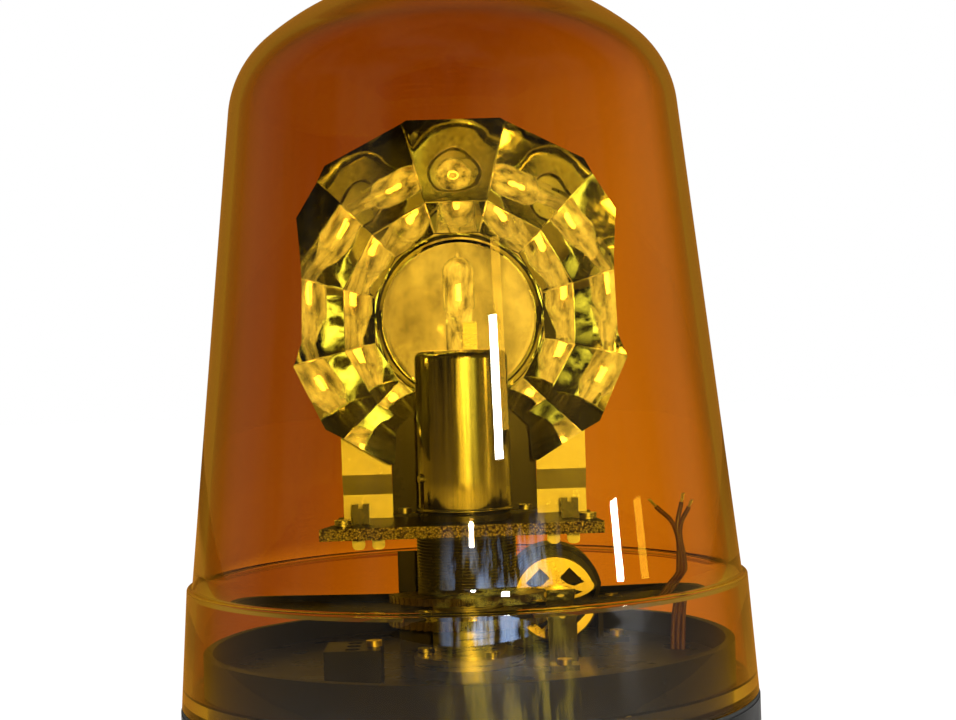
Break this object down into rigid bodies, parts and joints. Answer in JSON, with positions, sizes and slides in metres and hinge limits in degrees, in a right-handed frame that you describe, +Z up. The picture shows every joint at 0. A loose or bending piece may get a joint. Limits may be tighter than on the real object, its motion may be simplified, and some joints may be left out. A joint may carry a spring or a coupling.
{
  "type": "rotating warning beacon",
  "caption": "Amber domed rotating beacon: halogen lamp on a fixed column inside a faceted reflector turned by a worm motor, on a round bolt-down base.",
  "frame": {"origin": "centre of the mounting face under the foot gasket", "axes": "+Z up along the column and the dome axis; the reflector opens towards -Y at rest; the cable leaves towards +Y"},
  "size_m": [0.165, 0.1865, 0.2304],
  "materials": {
    "amber_dome": "clear tinted polycarbonate",
    "black_plastic": "moulded, fine grain",
    "rubber": "matt",
    "dark_steel": "black painted sheet",
    "zinc_steel": "zinc plated",
    "sleeve_metal": "satin",
    "mirror_plastic": "vacuum metallised",
    "bright_steel": "bright",
    "gear_plastic": "natural acetal",
    "hub_black": "glass filled",
    "brass": "bright",
    "quartz": "clear",
    "tungsten": "bright",
    "bronze": "sintered",
    "holder_plastic": "phenolic",
    "wire_brown": "insulation",
    "capacitor": "varnished"
  },
  "bodies": {
    "housing": {"base_housing": "black_plastic", "foot_gasket": "rubber", "dome_gasket": "rubber", "dome_screws": "zinc_steel", "chassis_plate": "dark_steel", "chassis_screws": "zinc_steel", "centre_pillar": "zinc_steel", "pillar_screws": "zinc_steel", "thrust_washer": "bronze", "retaining_ring": "zinc_steel", "lamp_holder": "holder_plastic", "lamp_contact": "brass", "sleeve_pin": "zinc_steel", "front_bearing": "hub_black", "motor_end_plate": "brass", "motor_can": "zinc_steel", "motor_sleeve": "rubber", "motor_clamp": "dark_steel", "mechanism_screws": "brass", "support_bracket": "dark_steel", "suppressor": "capacitor", "terminal_block": "black_plastic", "terminal_screws": "brass", "motor_leads": "wire_brown", "loose_leads": "wire_brown", "supply_cable": "rubber", "cable_gland": "black_plastic", "gland_nut": "black_plastic", "breather_plug": "rubber"},
    "rotor": {"rotor_bush": "bronze", "rotor_hub": "hub_black", "rotor_gear": "gear_plastic", "rotor_plate": "dark_steel", "rotor_collar": "hub_black", "reflector_legs": "bright_steel", "reflector": "mirror_plastic", "reflector_screws": "zinc_steel", "latch_posts": "hub_black", "plate_screws": "zinc_steel", "rear_shield": "dark_steel", "shield_screws": "zinc_steel"},
    "motor_rotor": {"worm": "brass", "motor_shaft": "bright_steel", "motor_armature": "dark_steel"},
    "dome_cover": {"dome": "amber_dome"},
    "lamp": {"bulb_cap": "zinc_steel", "bulb_glass": "quartz", "bulb_filament": "tungsten"},
    "sleeve": {"bulb_sleeve": "sleeve_metal"}
  },
  "joints": [
    {"name": "rotor_spin", "type": "hinge", "parent": "housing", "child": "rotor", "pos_m": [0, 0, 0.0472], "axis": [0, 0, 1], "continuous": true},
    {"name": "worm_spin", "type": "hinge", "parent": "housing", "child": "motor_rotor", "pos_m": [0.0263, 0, 0.0472], "axis": [0, 1, 0], "continuous": true},
    {"name": "dome_lift", "type": "slide", "parent": "housing", "child": "dome_cover", "axis": [0, 0, 1], "range_m": [0, 0.18]},
    {"name": "bulb_lift", "type": "slide", "parent": "housing", "child": "lamp", "axis": [0, 0, 1], "range_m": [0, 0.016]},
    {"name": "sleeve_lift", "type": "slide", "parent": "lamp", "child": "sleeve", "axis": [0, 0, 1], "range_m": [0, 0.018]}
  ],
  "couplings": [
    {"joint": "worm_spin", "follows": "rotor_spin", "ratio": -56}
  ]
}
